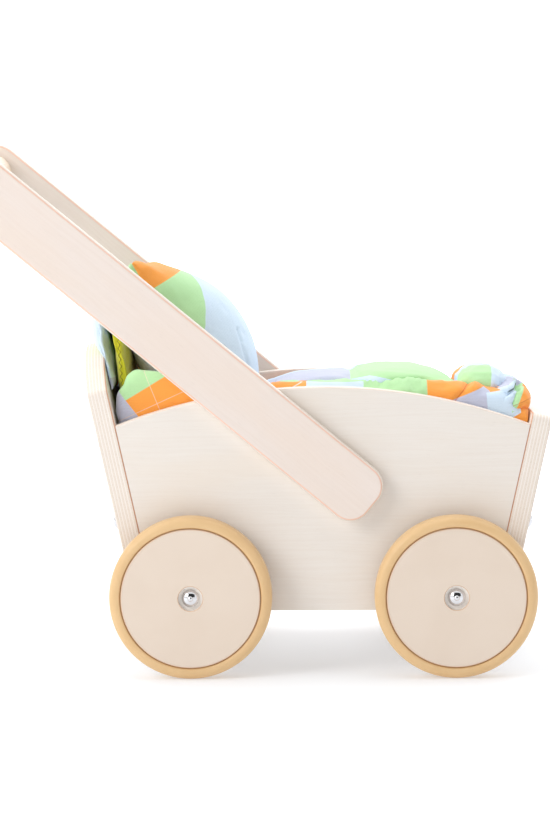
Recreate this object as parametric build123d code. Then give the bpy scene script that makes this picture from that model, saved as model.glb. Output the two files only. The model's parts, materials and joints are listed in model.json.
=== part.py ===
from build123d import *
import os
from math import cos, radians, sin, sqrt, tan

# Toy doll stroller: plywood bed on four wheels, two handle arms with a push bar, loose bedding.
# +X points to the foot end, +Z is up, and the origin lies on the ground under the centre of the bounding box.
# All pieces are built about the middle of the bed and moved together at the end.

os.makedirs("parts", exist_ok=True)

# ---- sizes (mm, degrees) ----
wheel_diameter = 140
wheel_width = 24
tyre_depth = 10
tyre_rib_depth = 3
tyre_rib_width = 10
tyre_shoulder = 6.8
tyre_lip = 2.5
axle_diameter = 8
axle_spacing = 228
axle_edge_distance = 15       # axle centre above the lower edge of the side panels

bed_width = 250               # over the outer faces of the side panels
bed_bottom_length = 287       # between the end panels at the lower edge
end_tilt = 12.4               # lean of both end panels
side_thickness = 15
side_corner_rise = 161        # side panel corner above the lower edge
side_arch_rise = 33
end_thickness = 18
head_corner_rise = 192        # straight part of the head panel's side edges
head_arch_rise = 36
foot_rise = 171
panel_corner_radius = 6
edge_round = 1.5

arm_width = 52.5
arm_thickness = 15
arm_angle = 39.5
arm_foot_x = 42.8             # middle of the arm's lower end, from the middle of the bed
arm_foot_rise = 91.6          # the same point above the lower edge of the side panels
arm_reach = 453               # lower end to push bar centre, along the arm
arm_foot_radius = 19
arm_edge_round = 3
bar_diameter = 32
spigot_diameter = 20
spigot_length = 10

floor_rise = 25               # underside of the floor above the lower edge
floor_thickness = 9
batten_size = 15
batten_axle_gap = 19
floor_gap = 0.5

spacer_diameter = 18
spacer_length = 8
recess_diameter = 21
recess_depth = 5
cap_diameter = 15
cap_height = 6.4
cap_nipple_diameter = 5.5
cap_skirt = 1.6

bolt_diameter = 6
bolt_head_diameter = 13
bolt_head_height = 3.2
bolt_reach = 36               # bolt length beyond the joint
nut_diameter = 10
nut_wall = 3                  # wood left behind the cross nut
nut_inset = 26
dowel_diameter = 8
dowel_in_end = 11
dowel_in_side = 19
dowel_offset = 50

screw_diameter = 4
screw_head_diameter = 8
screw_tip_length = 3
arm_screw_length = 25
batten_screw_length = 25
floor_screw_length = 20

mattress_thickness = 40
liner_thickness = 26
liner_half_width = 88
liner_top_rise = 257
bedding_side_gap = 3
pillow_length = 194.5
pillow_width = 172
pillow_front = 55
pillow_back = 38
pillow_rim = 6
pillow_lean = 30.2            # pillow from the vertical
pillow_rise = 219
pillow_stand_off = 46       # from the turned-up end to the pillow's middle
quilt_crown_rise = 211
quilt_foot_rise = 170
quilt_fold_rise = 205         # top of the fold at the foot end
quilt_fold_back = 30
quilt_head_rise = 198
quilt_corner_rise = 168

# ---- fits ----
running_gap = 0.08            # radial, wheel on axle
spigot_gap = 0.05
axle_hole_gap = 0.05
axial_gap = 0.3
bolt_hole_gap = 0.25
soft_gap = 0.5

# ---- derived positions ----
wheel_radius = wheel_diameter / 2
disc_radius = wheel_radius - tyre_depth
bed_bottom = wheel_radius - axle_edge_distance
half_width = bed_width / 2
inner_half = half_width - side_thickness
tilt = radians(end_tilt)
corner_z = bed_bottom + side_corner_rise
joint_length = side_corner_rise / cos(tilt)
arm_turn = radians(arm_angle)
arm_foot_z = bed_bottom + arm_foot_rise
bar_x = arm_foot_x - arm_reach * cos(arm_turn)
bar_z = arm_foot_z + arm_reach * sin(arm_turn)
wheel_inner = half_width + spacer_length + axial_gap
wheel_outer = wheel_inner + wheel_width
cap_seat = wheel_outer - recess_depth + axial_gap
axle_end = cap_seat + cap_height * 0.5
batten_length = axle_spacing - 2 * batten_axle_gap
nut_length = side_thickness - nut_wall
floor_bottom = bed_bottom + floor_rise
floor_top = floor_bottom + floor_thickness


def joint_x(z):
    """Distance of an end panel's inner face from the middle of the bed at height z."""
    return bed_bottom_length / 2 + (z - bed_bottom) * tan(tilt)


foot_top_x = joint_x(bed_bottom + foot_rise) + end_thickness / cos(tilt)
bed_x = -((bar_x - arm_width / 2) + foot_top_x) / 2


def export(name, *solids):
    moved = [Pos(bed_x, 0, 0) * solid for solid in solids]
    shape = moved[0] if len(moved) == 1 else Compound(children=moved)
    export_step(shape, "parts/" + name + ".step")


def other_side(shape):
    return mirror(shape, about=Plane.XZ)


def both_sides(shapes):
    return shapes + [other_side(shape) for shape in shapes]


def outline(*edges):
    return make_face(Wire(list(edges)))


def upright(face, inner, thickness):
    """Board on the -Y side, drawn in x and z, from |y| = inner outwards."""
    return extrude(Plane.XZ.offset(inner) * face, thickness)


def cut(shape, tools):
    for tool in tools:
        shape = shape - tool
    return shape.solids()[0]


def revolved(points):
    """Solid of revolution about z from (radius, height) points that start and end on the axis."""
    return revolve(Plane.XZ * make_face(Polyline(*points, close=True)), Axis.Z)


def dome(radius, height):
    """Round cap of the given radius and height, with its flat side at z = 0."""
    ball = (radius**2 + height**2) / (2 * height)
    return Pos(0, 0, height - ball) * Sphere(ball) & Pos(0, 0, height) * Box(4 * radius, 4 * radius, 2 * height)


def screw(length, with_socket):
    """Countersunk screw along +z with the flat of its head at z = 0."""
    r = screw_diameter / 2
    head = screw_head_diameter / 2
    body = revolved([(0, 0), (head, 0), (head, 0.4), (r, 0.4 + head - r), (r, length - screw_tip_length), (0, length)])
    if with_socket:
        body = body - extrude(RegularPolygon(1.5, 6), 1.8)
    return body


def screws(places, length, with_socket):
    return [place * screw(length, with_socket) for place in places]


# ---- end panels ----
def end_plane(at_foot):
    """Plane on an end panel's inner face: x along y, y up the panel, z outwards."""
    way = 1 if at_foot else -1
    start = (way * bed_bottom_length / 2, 0, bed_bottom)
    return Plane(origin=start, x_dir=(0, way, 0), z_dir=(way * cos(tilt), 0, -sin(tilt)))


def end_panel(at_foot, rise, arch):
    side = rise / cos(tilt)
    top_left = (-half_width, side)
    top_right = (half_width, side)
    crown = ThreePointArc(top_right, (0, side + arch / cos(tilt)), top_left) if arch else Line(top_right, top_left)
    face = outline(
        Line((-half_width, 0), (half_width, 0)),
        Line((half_width, 0), top_right),
        crown,
        Line(top_left, (-half_width, 0)),
    )
    corners = face.vertices().sort_by(Axis.Y)[-2:]
    face = fillet(corners, panel_corner_radius)
    panel = extrude(end_plane(at_foot) * face, end_thickness)
    below = Pos(0, 0, bed_bottom - 10) * Box(2000, 2000, 20)
    panel = (panel - below).solids()[0]
    exposed = [edge for edge in panel.edges() if (edge @ 0.5).Z > bed_bottom + 1]
    exposed = [edge for edge in exposed if abs((edge @ 0).Z - (edge @ 1).Z) > 1 or edge.length > end_thickness + 1]
    return fillet(exposed, edge_round)


foot_end = end_panel(True, foot_rise, 0)
head_end = end_panel(False, head_corner_rise, head_arch_rise)

# ---- side panel (the -Y one; the other is its mirror image) ----
half_bottom = bed_bottom_length / 2
half_top = joint_x(corner_z)
side = upright(
    outline(
        Line((-half_bottom, bed_bottom), (half_bottom, bed_bottom)),
        Line((half_bottom, bed_bottom), (half_top, corner_z)),
        ThreePointArc((half_top, corner_z), (0, corner_z + side_arch_rise), (-half_top, corner_z)),
        Line((-half_top, corner_z), (-half_bottom, bed_bottom)),
    ),
    inner_half,
    side_thickness,
)
side = fillet(side.edges().filter_by(GeomType.CIRCLE), edge_round)

# ---- handle arm (the -Y one) ----
arm_plane = Plane(
    origin=(arm_foot_x, -half_width, arm_foot_z),
    x_dir=(-cos(arm_turn), 0, sin(arm_turn)),
    z_dir=(0, -1, 0),
)
arm_face = Pos(arm_reach / 2, 0) * Rectangle(arm_reach, arm_width)
arm_face = fillet(arm_face.vertices().sort_by(Axis.X)[:2], arm_foot_radius)
arm_face = arm_face + Pos(arm_reach, 0) * Circle(arm_width / 2)
arm = extrude(arm_plane * arm_face, arm_thickness)
arm_rims = arm.faces().filter_by(Axis.Y).edges()
arm = fillet(arm_rims, arm_edge_round)

# ---- push bar with a turned spigot at each end ----
bar_axis = Pos(bar_x, 0, bar_z) * Rot(90, 0, 0)
bar = bar_axis * Cylinder(bar_diameter / 2, bed_width)
bar = bar + bar_axis * Cylinder(spigot_diameter / 2, bed_width + 2 * (spigot_length - axial_gap))
bar_socket = bar_axis * Cylinder(spigot_diameter / 2 + spigot_gap, bed_width + 2 * spigot_length)

# ---- floor and battens ----
floor_face = make_face(
    Polyline(
        (-joint_x(floor_bottom) + floor_gap, floor_bottom),
        (joint_x(floor_bottom) - floor_gap, floor_bottom),
        (joint_x(floor_top) - floor_gap, floor_top),
        (-joint_x(floor_top) + floor_gap, floor_top),
        close=True,
    )
)
floor_panel = extrude(Plane.XZ * floor_face, inner_half - floor_gap, both=True)
batten_y = inner_half - batten_size / 2
batten_z = floor_bottom - batten_size / 2
batten = Pos(0, -batten_y, batten_z) * Box(batten_length, batten_size, batten_size)

# ---- screw places (on the -Y side) ----
outwards = Rot(90, 0, 0)
arm_screw_places = []
for along in (0.062, 0.165, 0.26):
    run = along * arm_reach
    x = arm_foot_x - run * cos(arm_turn)
    z = arm_foot_z + run * sin(arm_turn)
    arm_screw_places.append(Pos(x, -inner_half, z) * outwards)
batten_screw_places = []
for along in (-0.38, 0, 0.38):
    batten_screw_places.append(Pos(along * batten_length, -inner_half + batten_size, batten_z) * outwards)
floor_screw_places = []
for along in (-0.2, 0.2):
    floor_screw_places.append(Pos(along * batten_length, -batten_y, floor_top) * Rot(180, 0, 0))

arm_screw_tools = screws(arm_screw_places, arm_screw_length, False)
batten_screw_tools = screws(batten_screw_places, batten_screw_length, False)
floor_screw_tools = screws(floor_screw_places, floor_screw_length, False)

# ---- corner joints: bolt, cross nut and two dowels at each corner ----
corner_y = inner_half + side_thickness / 2


def corner_place(at_foot, up):
    """Place on the joint line of a -Y corner, up the joint, with z pointing outwards."""
    way = 1 if at_foot else -1
    return end_plane(at_foot).location * Pos(-way * corner_y, up, 0)


bolt_shank_length = end_thickness + bolt_reach
bolt_shank = Pos(0, 0, end_thickness - bolt_shank_length / 2) * Cylinder(bolt_diameter / 2, bolt_shank_length)
bolt = Pos(0, 0, end_thickness) * dome(bolt_head_diameter / 2, bolt_head_height) + bolt_shank
bolt_hole_length = bolt_shank_length + 3
bolt_hole = Pos(0, 0, end_thickness - bolt_hole_length / 2)
bolt_hole = bolt_hole * Cylinder(bolt_diameter / 2 + bolt_hole_gap, bolt_hole_length)
dowel_length = dowel_in_end + dowel_in_side
dowel = Pos(0, 0, (dowel_in_end - dowel_in_side) / 2) * Cylinder(dowel_diameter / 2, dowel_length)
dowel = chamfer(dowel.edges(), 1)
dowel_hole = Pos(0, 0, (dowel_in_end - dowel_in_side) / 2) * Cylinder(dowel_diameter / 2, dowel_length + 1)

bolts = []
nuts = []
nut_holes = []
bolt_holes = []
dowels = []
dowel_holes = []
for at_foot in (True, False):
    way = 1 if at_foot else -1
    place = corner_place(at_foot, joint_length / 2)
    bolts.append(place * bolt)
    bolt_holes.append(place * bolt_hole)
    nut_place = place * Pos(0, 0, -nut_inset)
    nut_at = nut_place.position
    nut_axis = Pos(nut_at.X, -inner_half - nut_length / 2, nut_at.Z) * Rot(90, 0, 0)
    nuts.append(nut_axis * Cylinder(nut_diameter / 2, nut_length) - place * bolt_shank)
    nut_holes.append(nut_axis * Cylinder(nut_diameter / 2, nut_length))
    for up in (joint_length / 2 - dowel_offset, joint_length / 2 + dowel_offset):
        dowels.append(corner_place(at_foot, up) * dowel)
        dowel_holes.append(corner_place(at_foot, up) * dowel_hole)

# ---- axles, spacers and caps ----
axle_places = {"front": axle_spacing / 2, "rear": -axle_spacing / 2}


def across(x):
    """Place on an axle line with z pointing to -Y."""
    return Pos(x, 0, wheel_radius) * Rot(90, 0, 0)


axle_rod = Cylinder(axle_diameter / 2, 2 * axle_end)
axle_hole = Cylinder(axle_diameter / 2 + axle_hole_gap, bed_width + 10)
spacer = Pos(0, 0, half_width + spacer_length / 2) * Cylinder(spacer_diameter / 2, spacer_length)
spacer = spacer - Cylinder(axle_diameter / 2 + axle_hole_gap, 2 * axle_end)

cap_dome_height = 0.86 * cap_height - cap_skirt
cap = Pos(0, 0, cap_skirt / 2) * Cylinder(cap_diameter / 2, cap_skirt)
cap = cap + Pos(0, 0, cap_skirt) * dome(cap_diameter / 2, cap_dome_height)
cap = cap + Pos(0, 0, cap_height - cap_nipple_diameter / 2) * Sphere(cap_nipple_diameter / 2)
cap = Pos(0, 0, cap_seat) * cap - axle_rod

# ---- wheel ----
rib_half = tyre_rib_width / 2
half_wheel = wheel_width / 2
disc = Cylinder(disc_radius, wheel_width)
disc = chamfer(disc.edges(), 0.8)
groove = Cylinder(disc_radius + 1, tyre_rib_width) - Cylinder(disc_radius - tyre_rib_depth, tyre_rib_width)
disc = disc - groove - Cylinder(axle_diameter / 2 + running_gap, wheel_width + 2)
recess = Cylinder(recess_diameter / 2, 2 * recess_depth)
disc = disc - Pos(0, 0, half_wheel) * recess
recess_rim = disc.edges().filter_by(GeomType.CIRCLE).filter_by(lambda edge: abs(edge.radius - recess_diameter / 2) < 0.01)
disc = chamfer(recess_rim.sort_by(Axis.Z)[-1], 0.5)

lip = min(tyre_lip, 0.3 * tyre_depth)
shoulder = min(tyre_shoulder, 0.7 * tyre_depth)
lip_in = lip * (1 - sqrt(0.5))
shoulder_in = shoulder * (1 - sqrt(0.5))
rib_radius = disc_radius - tyre_rib_depth
half_section = [
    Line((rib_radius, 0), (rib_radius, rib_half)),
    Line((rib_radius, rib_half), (disc_radius, rib_half)),
    Line((disc_radius, rib_half), (disc_radius, half_wheel - lip)),
    ThreePointArc(
        (disc_radius, half_wheel - lip),
        (disc_radius + lip_in, half_wheel - lip_in),
        (disc_radius + lip, half_wheel),
    ),
    Line((disc_radius + lip, half_wheel), (wheel_radius - shoulder, half_wheel)),
    ThreePointArc(
        (wheel_radius - shoulder, half_wheel),
        (wheel_radius - shoulder_in, half_wheel - shoulder_in),
        (wheel_radius, half_wheel - shoulder),
    ),
    Line((wheel_radius, half_wheel - shoulder), (wheel_radius, 0)),
    Line((wheel_radius, 0), (rib_radius, 0)),
]
half_tyre = revolve(Plane.XZ * outline(*half_section), Axis.Z)
tyre = half_tyre + mirror(half_tyre, about=Plane.XY)
wheel_middle = (wheel_inner + wheel_outer) / 2
for name, x in axle_places.items():
    near = across(x) * Pos(0, 0, wheel_middle)
    export(name + "_right_disc", near * disc)
    export(name + "_left_disc", other_side(near * disc))
    export(name + "_right_tyre", near * tyre)
    export(name + "_left_tyre", other_side(near * tyre))
    export(name + "_axle", across(x) * axle_rod)
export("axle_spacers", *both_sides([across(x) * spacer for x in axle_places.values()]))
export("axle_caps", *both_sides([across(x) * cap for x in axle_places.values()]))

# ---- boards with their holes ----
side_tools = arm_screw_tools + batten_screw_tools + bolt_holes + nut_holes + dowel_holes
side_tools = side_tools + [across(x) * axle_hole for x in axle_places.values()]
side = cut(side, side_tools)
arm = cut(arm, arm_screw_tools + [bar_socket])
batten = cut(batten, batten_screw_tools + floor_screw_tools)
export("right_side_panel", side)
export("left_side_panel", other_side(side))
export("right_handle_arm", arm)
export("left_handle_arm", other_side(arm))
export("handle_bar", bar)
export("right_floor_batten", batten)
export("left_floor_batten", other_side(batten))
export("floor_panel", cut(floor_panel, both_sides(floor_screw_tools)))
end_tools = both_sides(bolt_holes + dowel_holes)
export("head_end_panel", cut(head_end, end_tools))
export("foot_end_panel", cut(foot_end, end_tools))

# ---- fasteners ----
export("corner_bolts", *both_sides(bolts))
export("barrel_nuts", *both_sides(nuts))
export("corner_dowels", *both_sides(dowels))
export("arm_screws", *both_sides(screws(arm_screw_places, arm_screw_length, True)))
export("batten_screws", *both_sides(screws(batten_screw_places, batten_screw_length, True)))
export("floor_screws", *both_sides(screws(floor_screw_places, floor_screw_length, True)))

# ---- mattress with its turned-up head end ----
mattress_bottom = floor_top + soft_gap
mattress_top = mattress_bottom + mattress_thickness
liner_top = bed_bottom + liner_top_rise
mattress_half = inner_half - bedding_side_gap


def liner_back(z):
    return -joint_x(z) + soft_gap


def liner_front(z):
    return liner_back(z) + liner_thickness / cos(tilt)


pad_face = make_face(
    Polyline(
        (liner_back(mattress_bottom), mattress_bottom),
        (joint_x(mattress_bottom) - bedding_side_gap, mattress_bottom),
        (joint_x(mattress_top) - bedding_side_gap, mattress_top),
        (liner_back(mattress_top), mattress_top),
        close=True,
    )
)
pad = extrude(Plane.XZ * pad_face, mattress_half, both=True)
liner_low = mattress_top - mattress_thickness / 4
liner_face = make_face(
    Polyline(
        (liner_back(liner_low), liner_low),
        (liner_front(liner_low), liner_low),
        (liner_front(liner_top), liner_top),
        (liner_back(liner_top), liner_top),
        close=True,
    )
)
liner = extrude(Plane.XZ * liner_face, liner_half_width, both=True)
mattress = (pad + liner).solids()[0]
export("mattress", mattress)

# ---- pillow: domed on both faces, leaning on the turned-up end ----
rim = pillow_rim / 2


def lens(length, front, back):
    half = length / 2
    return outline(
        Line((-half, -rim), (-half, rim)),
        ThreePointArc((-half, rim), (0, front), (half, rim)),
        Line((half, rim), (half, -rim)),
        ThreePointArc((half, -rim), (0, -back), (-half, -rim)),
    )


long_lens = extrude(Plane.XZ * lens(pillow_length, pillow_front, pillow_back), pillow_width, both=True)
wide_lens = extrude(Plane.YZ * lens(pillow_width, pillow_front, pillow_back), pillow_length, both=True)
pillow_z = bed_bottom + pillow_rise
pillow_x = liner_front(pillow_z) + pillow_stand_off
pillow_place = Pos(pillow_x, 0, pillow_z) * Rot(0, 90 - pillow_lean, 0)
pillow = pillow_place * (long_lens & wide_lens)
export("pillow", pillow)

# ---- quilt: fills the bed over the mattress, hollowed under the pillow ----
quilt_bottom = mattress_top + soft_gap
quilt_half = inner_half - bedding_side_gap
far = 2 * bed_bottom_length


def quilt_edge(z):
    return joint_x(z) - bedding_side_gap


foot_z = bed_bottom + quilt_foot_rise
fold_z = bed_bottom + quilt_fold_rise
head_z = bed_bottom + quilt_head_rise
corner_fold_z = bed_bottom + quilt_corner_rise
fold_x = quilt_edge(foot_z) - quilt_fold_back
fold_out_x = quilt_edge(foot_z) - 0.15 * quilt_fold_back
fold_out_z = foot_z + 0.7 * (fold_z - foot_z)
hollow_x = pillow.bounding_box().max.X + soft_gap
head_low = (-quilt_edge(corner_fold_z), corner_fold_z)
head_high = (-quilt_edge(corner_fold_z) + quilt_fold_back, head_z)
quilt_face = outline(
    Line((-quilt_edge(quilt_bottom), quilt_bottom), (quilt_edge(quilt_bottom), quilt_bottom)),
    Line((quilt_edge(quilt_bottom), quilt_bottom), (quilt_edge(foot_z), foot_z)),
    ThreePointArc((quilt_edge(foot_z), foot_z), (fold_out_x, fold_out_z), (fold_x, fold_z)),
    ThreePointArc((fold_x, fold_z), ((fold_x + hollow_x) / 2, bed_bottom + quilt_crown_rise), (hollow_x, head_z)),
    Line((hollow_x, head_z), head_high),
    Line(head_high, head_low),
    Line(head_low, (-quilt_edge(quilt_bottom), quilt_bottom)),
)
quilt = extrude(Plane.XZ * quilt_face, quilt_half, both=True)

slot_face = make_face(
    Polyline(
        (-far, quilt_bottom - 1),
        (liner_front(quilt_bottom - 1) + soft_gap, quilt_bottom - 1),
        (liner_front(liner_top) + soft_gap, liner_top),
        (-far, liner_top),
        close=True,
    )
)
slot = extrude(Plane.XZ * slot_face, liner_half_width + soft_gap, both=True)
under_rim = -rim - soft_gap
under_top = (pillow_place * Pos(-pillow_length / 2, 0, under_rim)).position
under_middle = (pillow_place * Pos(0, 0, -pillow_back - soft_gap)).position
under_tip = (pillow_place * Pos(pillow_length / 2 + soft_gap, 0, under_rim)).position
hollow_face = outline(
    ThreePointArc((under_top.X, under_top.Z), (under_middle.X, under_middle.Z), (under_tip.X, under_tip.Z)),
    Line((under_tip.X, under_tip.Z), (hollow_x, under_tip.Z)),
    Line((hollow_x, under_tip.Z), (hollow_x, far)),
    Line((hollow_x, far), (-far, far)),
    Line((-far, far), (-far, under_top.Z)),
    Line((-far, under_top.Z), (under_top.X, under_top.Z)),
)
hollow = extrude(Plane.XZ * hollow_face, pillow_width / 2 + soft_gap, both=True)
quilt = (quilt - slot - hollow).solids()[0]
export("quilt", quilt)
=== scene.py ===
import json
import math

import bpy
from mathutils import Matrix, Vector, noise
from mathutils.bvhtree import BVHTree


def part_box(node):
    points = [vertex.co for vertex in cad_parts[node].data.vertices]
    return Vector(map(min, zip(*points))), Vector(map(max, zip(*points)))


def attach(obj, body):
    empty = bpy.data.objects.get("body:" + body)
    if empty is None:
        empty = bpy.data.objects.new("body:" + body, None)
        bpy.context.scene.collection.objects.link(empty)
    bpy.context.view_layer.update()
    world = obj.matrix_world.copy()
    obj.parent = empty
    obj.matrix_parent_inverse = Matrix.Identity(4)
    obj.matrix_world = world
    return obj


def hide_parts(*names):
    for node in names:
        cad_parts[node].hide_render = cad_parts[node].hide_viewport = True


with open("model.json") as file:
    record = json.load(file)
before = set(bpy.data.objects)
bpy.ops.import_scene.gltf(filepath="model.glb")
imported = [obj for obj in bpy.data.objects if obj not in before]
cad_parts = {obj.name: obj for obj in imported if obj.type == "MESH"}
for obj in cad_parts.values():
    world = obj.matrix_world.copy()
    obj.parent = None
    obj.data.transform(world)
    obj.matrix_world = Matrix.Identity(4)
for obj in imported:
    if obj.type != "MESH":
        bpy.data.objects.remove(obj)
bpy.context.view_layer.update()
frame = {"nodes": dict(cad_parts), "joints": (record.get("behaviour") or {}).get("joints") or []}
nodes = frame["nodes"]

MM = 0.001
PATCH_EDGE = 0.00015  # half the blur at the edge of a printed patch, in metres

# ---------------------------------------------------------------- shader maths


class Signal:
    """A shader socket that can be used in ordinary arithmetic."""

    def __init__(self, finish, socket):
        self.finish = finish
        self.socket = socket

    def math(self, operation, *others):
        return self.finish.node("ShaderNodeMath", {"operation": operation}, [self, *others])

    def __add__(self, other):
        return self.math("ADD", other)

    __radd__ = __add__

    def __sub__(self, other):
        return self.math("SUBTRACT", other)

    def __rsub__(self, other):
        return self.finish.node("ShaderNodeMath", {"operation": "SUBTRACT"}, [other, self])

    def __mul__(self, other):
        return self.math("MULTIPLY", other)

    __rmul__ = __mul__

    def __truediv__(self, other):
        return self.math("DIVIDE", other)

    def __neg__(self):
        return self.math("MULTIPLY", -1.0)

    def __gt__(self, other):
        return self.math("GREATER_THAN", other)

    def __lt__(self, other):
        return self.math("LESS_THAN", other)

    def power(self, other):
        return self.math("POWER", other)

    def least(self, other):
        return self.math("MINIMUM", other)

    def most(self, other):
        return self.math("MAXIMUM", other)

    def size(self):
        return self.math("ABSOLUTE")

    def part(self):
        return self.math("FRACT")

    def whole(self):
        return self.math("FLOOR")

    def wave(self):
        return self.math("SINE")

    def between(self, low, high):
        """0 below low, 1 above high, smooth between them."""
        kind = {"interpolation_type": "SMOOTHSTEP"}
        return self.finish.node(
            "ShaderNodeMapRange", kind, {"Value": self, "From Min": low, "From Max": high}, "Result"
        )


class Finish:
    """A material under construction."""

    def __init__(self, name, **constants):
        self.material = bpy.data.materials.new(name)
        self.material.use_nodes = True
        self.tree = self.material.node_tree
        self.shader = self.tree.nodes["Principled BSDF"]
        for socket, value in constants.items():
            self.shader.inputs[socket.replace("_", " ")].default_value = value

    def node(self, kind, settings=None, inputs=(), output=0):
        made = self.tree.nodes.new(kind)
        for key, value in (settings or {}).items():
            if key == "stops":
                ramp = made.color_ramp
                while len(ramp.elements) < len(value):
                    ramp.elements.new(0.5)
                for element, (place, colour) in zip(ramp.elements, value):
                    element.position = place
                    element.color = (*colour, 1.0)
            else:
                setattr(made, key, value)
        pairs = inputs.items() if isinstance(inputs, dict) else enumerate(inputs)
        for key, value in pairs:
            if isinstance(value, Signal):
                self.tree.links.new(value.socket, made.inputs[key])
            elif value is not None:
                made.inputs[key].default_value = value
        return Signal(self, made.outputs[output])

    def place(self):
        return self.node("ShaderNodeTexCoord", output="Object")

    def axes(self, vector):
        made = self.tree.nodes.new("ShaderNodeSeparateXYZ")
        self.tree.links.new(vector.socket, made.inputs[0])
        return [Signal(self, out) for out in made.outputs]

    def vector(self, x, y, z):
        return self.node("ShaderNodeCombineXYZ", inputs=[x, y, z])

    def along(self, vector, direction):
        return self.node("ShaderNodeVectorMath", {"operation": "DOT_PRODUCT"}, [vector, direction], "Value")

    def noise(self, vector, scale, detail=3.0, roughness=0.5, stretch=0.0):
        values = {
            "Vector": vector, "Scale": scale, "Detail": detail, "Roughness": roughness,
            "Distortion": stretch
        }
        return self.node("ShaderNodeTexNoise", inputs=values, output="Fac")

    def mix(self, factor, first, second):
        """Blends two colours; a colour is a tuple or a Signal."""
        made = self.tree.nodes.new("ShaderNodeMix")
        made.data_type = "RGBA"
        for key, value in ((0, factor), (6, first), (7, second)):
            if isinstance(value, Signal):
                self.tree.links.new(value.socket, made.inputs[key])
            else:
                made.inputs[key].default_value = value if key == 0 else (*value, 1.0)
        return Signal(self, made.outputs[2])

    def tint(self, colour, amount):
        """Multiplies a colour by a grey Signal."""
        return self.node("ShaderNodeVectorMath", {"operation": "SCALE"}, {0: colour, "Scale": amount})

    def bump(self, height, depth, strength=1.0):
        values = {"Strength": strength, "Distance": depth, "Height": height}
        normal = self.node("ShaderNodeBump", inputs=values)
        self.tree.links.new(normal.socket, self.shader.inputs["Normal"])

    def wear(self, **links):
        for socket, value in links.items():
            self.tree.links.new(value.socket, self.shader.inputs[socket.replace("_", " ")])
        return self


def srgb(red, green, blue):
    def linear(value):
        value = value / 255
        return value / 12.92 if value <= 0.04045 else ((value + 0.055) / 1.055) ** 2.4

    return tuple(linear(value) for value in (red, green, blue))


# ---------------------------------------------------------------- measures taken from the frame

record_joints = {joint["name"]: joint for joint in frame["joints"]}
front_wheel = Vector(record_joints["front_right_wheel_spin"]["pos_m"])
rear_wheel = Vector(record_joints["rear_right_wheel_spin"]["pos_m"])
bed_x = (front_wheel.x + rear_wheel.x) / 2
side_low, side_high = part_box("right_side_panel")
half_width = -side_low.y
side_thickness = side_high.y - side_low.y
bed_bottom = side_low.z
end_tilt = math.radians(12.4)
end_thickness = 18 * MM
bottom_half = 143.5 * MM

PLY = 1.45 * MM


# ---------------------------------------------------------------- finishes


def plywood(name, through, start, thickness, grain, face, heart, seed, rub_through=0.18, joint_line=0.0):
    """Whitewashed birch plywood: veneers stacked along `through` from `start`, face grain along `grain`."""
    f = Finish(name, Roughness=0.5, Coat_Weight=0.12, Coat_Roughness=0.35)
    spot = f.place()
    through = Vector(through).normalized()
    grain = Vector(grain).normalized()
    across = through.cross(grain)
    depth = f.along(spot, through) - start
    run = f.along(spot, grain)
    side = f.along(spot, across)
    layers = round(thickness / PLY / 2) * 2 + 1
    ply = thickness / layers
    level = (depth / ply).most(0.02).least(layers - 0.02)
    step = level.whole()
    odd = (step * 0.5).part() * 2
    inside = level.part()
    glue = 1 - (inside * (1 - inside)).between(0.012, 0.05)
    skin = 1 - ((level - 0.9) > 0) * ((layers - 0.9 - level) > 0)
    glue = glue * (1 - ((level - 0.5) < 0)) * (1 - ((level - (layers - 0.5)) > 0))
    # long streaks and pores of the face veneer
    wander = f.noise(f.vector(run * 9, side * 26, seed), 1.0, 2.0)
    lines = f.noise(f.vector(run * 14 + wander, side * 420 + wander * 4, seed + 3), 1.0, 4.0, 0.62)
    fleck = f.noise(f.vector(run * 110, side * 2100, seed + 5), 1.0, 2.0, 0.5)
    cloud = f.noise(f.vector(run * 7, side * 20, seed + 9), 1.0, 3.0)
    streak = lines.between(0.3, 0.72)
    pore = fleck.between(0.64, 0.74)
    face_dark = tuple(c * k for c, k in zip(face, (0.93, 0.895, 0.865)))
    face_warm = tuple(c * k for c, k in zip(face, (1.0, 0.955, 0.9)))
    colour = f.mix(streak * 0.36, face, face_dark)
    colour = f.mix(cloud.between(0.42, 0.72) * 0.5, colour, face_warm)
    colour = f.mix(pore * 0.22, colour, tuple(c * 0.78 for c in face_dark))
    # sawn veneers seen on the edges
    tone = f.noise(f.vector(step * 7.3, run * 6, side * 6 + seed), 1.0, 2.0)
    end_fibre = f.noise(f.vector(run * 900, side * 900, depth * 1600), 1.0, 2.0)
    long_fibre = f.noise(f.vector(run * 40, side * 40, depth * 5200), 1.0, 3.0)
    light = tuple(c * k for c, k in zip(heart, (1.02, 1.02, 1.03)))
    dark = tuple(c * k for c, k in zip(heart, (0.88, 0.82, 0.73)))
    core = f.mix(odd * 0.5 + (tone - 0.5) * 0.6, light, dark)
    core = f.mix(odd * end_fibre.between(0.45, 0.75) * 0.3, core, tuple(c * 0.7 for c in dark))
    core = f.mix((1 - odd) * long_fibre.between(0.5, 0.8) * 0.25, core, dark)
    colour = f.mix(skin, core, colour)
    colour = f.mix(glue * 0.55, colour, srgb(196, 130, 86))
    face_depth = (thickness - depth).least(depth)
    line = (face_depth - 0.42 * MM).size().between(0.2 * MM, 0.4 * MM)
    colour = f.mix((1 - line) * rub_through, colour, srgb(240, 160, 108))
    if joint_line:
        inner = (depth - 0.6 * MM).size().between(0.35 * MM, 0.6 * MM)
        colour = f.mix((1 - inner) * joint_line, colour, srgb(206, 140, 96))
    f.wear(Base_Color=colour, Roughness=0.47 + streak * 0.1 + glue * 0.15)
    f.bump(lines * 0.55 + pore * -0.5 + fleck * 0.25, 0.00012, 0.55)
    return f.material


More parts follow.
